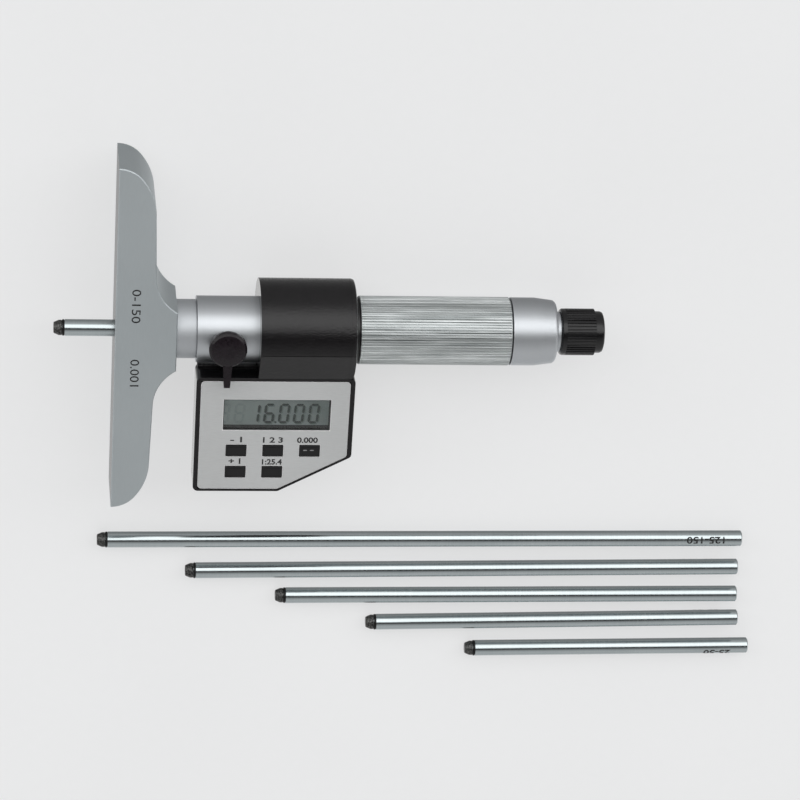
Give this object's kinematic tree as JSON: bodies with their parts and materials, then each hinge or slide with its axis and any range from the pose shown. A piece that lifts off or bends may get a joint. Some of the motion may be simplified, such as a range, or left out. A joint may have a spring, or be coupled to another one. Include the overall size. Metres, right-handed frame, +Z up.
{
  "type": "digital micrometer depth gauge",
  "caption": "Digital depth micrometer: flat base with a measuring rod, screw-driven spindle, fluted thimble, friction knob, display box with keys, lock lever, and a row of spare rods.",
  "frame": {"origin": "centre of the base's measuring face, on the axis of the measuring rod", "axes": "+X along the spindle from the measuring face to the thimble, +Y along the base, +Z up off the table and out of the display"},
  "size_m": [0.2007, 0.1593, 0.0279],
  "materials": {
    "base_steel": "satin ground steel",
    "satin_chrome": "satin chrome plate",
    "machined_steel": "machined and ground",
    "ground_steel": "ground and polished",
    "thimble_chrome": "satin chrome with fine flutes",
    "brass": "turned",
    "housing_black": "moulded satin black",
    "screw_steel": "blackened",
    "faceplate_aluminium": "fine silver satin",
    "window_clear": "clear",
    "display_glass": "grey-green liquid crystal panel",
    "connector_rubber": "striped contact rubber",
    "board_green": "solder mask",
    "contact_metal": "plated spring contact",
    "cell_steel": "nickel plated cell",
    "encoder_board": "printed board",
    "collar_black": "moulded black",
    "magnet": "nickel plated magnet",
    "carbide": "dark ground carbide",
    "knob_black": "ribbed moulded black",
    "lever_black": "smooth moulded black",
    "button_rubber": "moulded key"
  },
  "bodies": {
    "frame": {"base": "base_steel", "neck": "satin_chrome", "sleeve": "satin_chrome", "barrel": "machined_steel", "adjusting_nut": "brass", "ring_shell": "housing_black", "ring_end_cap": "housing_black", "box_shell": "housing_black", "back_cover": "housing_black", "cover_screws": "screw_steel", "faceplate": "faceplate_aluminium", "window_lens": "window_clear", "display_panel": "display_glass", "display_connectors": "connector_rubber", "circuit_board": "board_green", "dome_switches": "contact_metal", "battery": "cell_steel", "battery_contacts": "contact_metal", "encoder_stator": "encoder_board", "lock_shoe": "brass"},
    "thimble": {"thimble": "thimble_chrome", "thimble_collar": "collar_black", "encoder_rotor": "encoder_board", "thimble_cap": "satin_chrome", "drive_bush": "brass", "ratchet_stud": "machined_steel", "ratchet_collar": "satin_chrome", "knob_screw": "screw_steel", "friction_washer": "brass", "ratchet_spring": "screw_steel"},
    "spindle": {"spindle": "machined_steel", "rod_magnet": "magnet"},
    "measuring_rod": {"measuring_rod": "ground_steel", "rod_tip": "carbide"},
    "friction_knob": {"friction_knob": "knob_black", "knob_end_cap": "knob_black"},
    "lock_lever": {"lock_lever": "lever_black", "lock_screw": "screw_steel"},
    "button_minus": {"button_minus": "button_rubber"},
    "button_preset": {"button_preset": "button_rubber"},
    "button_zero": {"button_zero": "button_rubber"},
    "button_plus": {"button_plus": "button_rubber"},
    "button_unit": {"button_unit": "button_rubber"},
    "spare_rod_1": {"spare_rod_1": "ground_steel", "spare_rod_tip_1": "carbide"},
    "spare_rod_2": {"spare_rod_2": "ground_steel", "spare_rod_tip_2": "carbide"},
    "spare_rod_3": {"spare_rod_3": "ground_steel", "spare_rod_tip_3": "carbide"},
    "spare_rod_4": {"spare_rod_4": "ground_steel", "spare_rod_tip_4": "carbide"},
    "spare_rod_5": {"spare_rod_5": "ground_steel", "spare_rod_tip_5": "carbide"}
  },
  "joints": [
    {"name": "thimble_turn", "type": "hinge", "parent": "frame", "child": "thimble", "pos_m": [0.085, 0, 0], "axis": [-1, 0, 0], "range_deg": [-11520, 6480]},
    {"name": "spindle_travel", "type": "slide", "parent": "thimble", "child": "spindle", "axis": [-1, 0, 0], "range_m": [-0.016, 0.009]},
    {"name": "rod_pull", "type": "slide", "parent": "spindle", "child": "measuring_rod", "axis": [-1, 0, 0], "range_m": [0, 0.045]},
    {"name": "knob_slip", "type": "hinge", "parent": "thimble", "child": "friction_knob", "pos_m": [0.124, 0, 0], "axis": [-1, 0, 0], "continuous": true},
    {"name": "lock_turn", "type": "hinge", "parent": "frame", "child": "lock_lever", "pos_m": [0.0297, 0, 0.01], "axis": [0, 0, 1], "range_deg": [-10, 40]},
    {"name": "button_minus_press", "type": "slide", "parent": "frame", "child": "button_minus", "axis": [0, 0, -1], "range_m": [0, 0.0004], "stiffness_N_per_m": 400, "springref_m": -0.0004},
    {"name": "button_preset_press", "type": "slide", "parent": "frame", "child": "button_preset", "axis": [0, 0, -1], "range_m": [0, 0.0004], "stiffness_N_per_m": 400, "springref_m": -0.0004},
    {"name": "button_zero_press", "type": "slide", "parent": "frame", "child": "button_zero", "axis": [0, 0, -1], "range_m": [0, 0.0004], "stiffness_N_per_m": 400, "springref_m": -0.0004},
    {"name": "button_plus_press", "type": "slide", "parent": "frame", "child": "button_plus", "axis": [0, 0, -1], "range_m": [0, 0.0004], "stiffness_N_per_m": 400, "springref_m": -0.0004},
    {"name": "button_unit_press", "type": "slide", "parent": "frame", "child": "button_unit", "axis": [0, 0, -1], "range_m": [0, 0.0004], "stiffness_N_per_m": 400, "springref_m": -0.0004},
    {"name": "spare_rod_1_slide", "type": "slide", "parent": "frame", "child": "spare_rod_1", "axis": [1, 0.0098, 0], "range_m": [0, 0.05]},
    {"name": "spare_rod_2_slide", "type": "slide", "parent": "frame", "child": "spare_rod_2", "axis": [0.9999, 0.0138, 0], "range_m": [0, 0.05]},
    {"name": "spare_rod_3_slide", "type": "slide", "parent": "frame", "child": "spare_rod_3", "axis": [1, 0.0045, 0], "range_m": [0, 0.05]},
    {"name": "spare_rod_4_slide", "type": "slide", "parent": "frame", "child": "spare_rod_4", "axis": [1, 0.0089, 0], "range_m": [0, 0.05]},
    {"name": "spare_rod_5_slide", "type": "slide", "parent": "frame", "child": "spare_rod_5", "axis": [1, 0.0044, 0], "range_m": [0, 0.05]}
  ],
  "couplings": [
    {"joint": "spindle_travel", "follows": "thimble_turn", "m_per_rad": 0.000079577}
  ]
}
